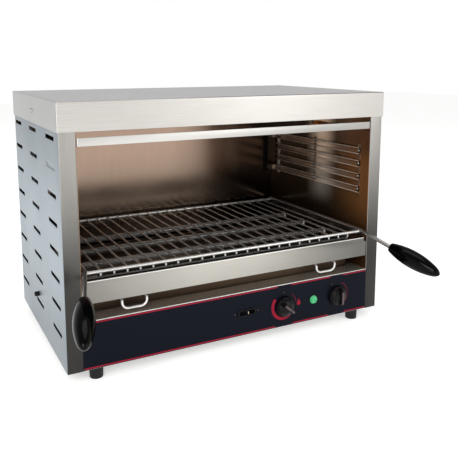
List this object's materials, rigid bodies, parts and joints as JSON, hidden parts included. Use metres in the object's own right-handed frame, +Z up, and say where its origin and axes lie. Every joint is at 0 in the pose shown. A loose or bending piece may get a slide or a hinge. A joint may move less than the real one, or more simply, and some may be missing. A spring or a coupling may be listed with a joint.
{
  "type": "countertop cheese melter",
  "caption": "Countertop cheese melter: open-fronted steel grill with quartz tubes above and below a pull-out wire rack on two handles, a crumb tray, thermostat, timer and switch.",
  "frame": {"origin": "on the surface the feet stand on, at the centre of the outline from handle tips to cable gland", "axes": "+X to the right seen from the front, +Y to the back, +Z up"},
  "size_m": [0.6732, 0.5616, 0.4614],
  "materials": {
    "cover_steel": "fine brushed stainless steel sheet, folded edges",
    "side_steel": "satin stainless steel sheet with punched louvre slots",
    "base_steel": "plain mill-finish steel sheet",
    "chamber_steel": "bright stainless sheet, warmed by heat",
    "fascia_steel": "mill-finish steel sheet",
    "overlay_print": "navy printed polyester film with red border lines",
    "guard_steel": "brushed stainless steel strip with folded edges",
    "chrome_wire": "bright chromed steel wire and rod",
    "guide_steel": "bright pressed stainless channels",
    "black_steel": "black enamelled steel",
    "quartz": "milky fused quartz",
    "coil_wire": "oxidised resistance wire",
    "ceramic": "unglazed steatite ceramic",
    "grip_plastic": "glossy black moulded phenolic",
    "knob_plastic": "satin black moulded phenolic",
    "spindle_steel": "turned steel",
    "control_case": "moulded control housing",
    "copper": "copper capillary and bulb",
    "lens_green": "translucent green lens",
    "switch_plastic": "black moulded plastic",
    "rocker_plastic": "glossy black rocker with a light mark",
    "terminal_plastic": "pale moulded terminal strip",
    "cable_black": "silicone-sleeved wiring",
    "insulation": "mineral wool pad",
    "foot_rubber": "black moulded rubber",
    "screw_steel": "zinc-plated steel screws"
  },
  "bodies": {
    "casing": {"top_cover": "cover_steel", "left_side_panel": "side_steel", "right_side_panel": "side_steel", "rear_panel": "side_steel", "base_plate": "base_steel", "chamber_left_wall": "chamber_steel", "chamber_right_wall": "chamber_steel", "chamber_back_wall": "chamber_steel", "chamber_floor": "chamber_steel", "ceiling_reflector": "chamber_steel", "roof_insulation": "insulation", "control_fascia": "fascia_steel", "fascia_overlay": "overlay_print", "upper_guard_bar": "guard_steel", "lower_guard_rail": "guard_steel", "left_rack_runner": "guide_steel", "right_rack_runner": "guide_steel", "left_side_guide": "guide_steel", "right_side_guide": "guide_steel", "guide_end_brackets": "black_steel", "upper_quartz_tubes": "quartz", "lower_quartz_tubes": "quartz", "heating_coils": "coil_wire", "upper_tube_caps": "ceramic", "lower_tube_caps": "ceramic", "tube_retainers": "base_steel", "thermostat_body": "control_case", "sensing_bulb": "copper", "timer_body": "control_case", "lamp_lens": "lens_green", "lamp_body": "switch_plastic", "switch_body": "switch_plastic", "terminal_block": "terminal_plastic", "cable_gland": "switch_plastic", "wiring_harness": "cable_black", "feet": "foot_rubber", "foot_studs": "screw_steel", "cover_screws": "screw_steel", "rear_screws": "screw_steel", "guard_screws": "screw_steel", "control_screws": "screw_steel", "side_pegs": "foot_rubber", "slot_backing_plates": "base_steel"},
    "rack": {"rack_grid": "chrome_wire", "left_handle_rod": "chrome_wire", "right_handle_rod": "chrome_wire", "left_grip": "grip_plastic", "right_grip": "grip_plastic"},
    "crumb_drawer": {"crumb_tray": "chamber_steel", "tray_loops": "chrome_wire"},
    "thermostat_dial": {"thermostat_knob": "knob_plastic", "thermostat_spindle": "spindle_steel"},
    "timer_dial": {"timer_knob": "knob_plastic", "timer_spindle": "spindle_steel"},
    "rocker": {"rocker_button": "rocker_plastic"}
  },
  "joints": [
    {"name": "rack_slide", "type": "slide", "parent": "casing", "child": "rack", "axis": [0, -1, 0], "range_m": [0, 0.28]},
    {"name": "tray_slide", "type": "slide", "parent": "casing", "child": "crumb_drawer", "axis": [0, -1, 0], "range_m": [0, 0.24]},
    {"name": "thermostat_turn", "type": "hinge", "parent": "casing", "child": "thermostat_dial", "pos_m": [0.095, -0.12324, 0.061], "axis": [0, 1, 0], "range_deg": [0, 270]},
    {"name": "timer_turn", "type": "hinge", "parent": "casing", "child": "timer_dial", "pos_m": [0.218, -0.12324, 0.061], "axis": [0, 1, 0], "range_deg": [0, 300]},
    {"name": "rocker_tilt", "type": "hinge", "parent": "casing", "child": "rocker", "pos_m": [0.0135, -0.12174, 0.0635], "axis": [0, 0, -1], "range_deg": [0, 18]}
  ]
}
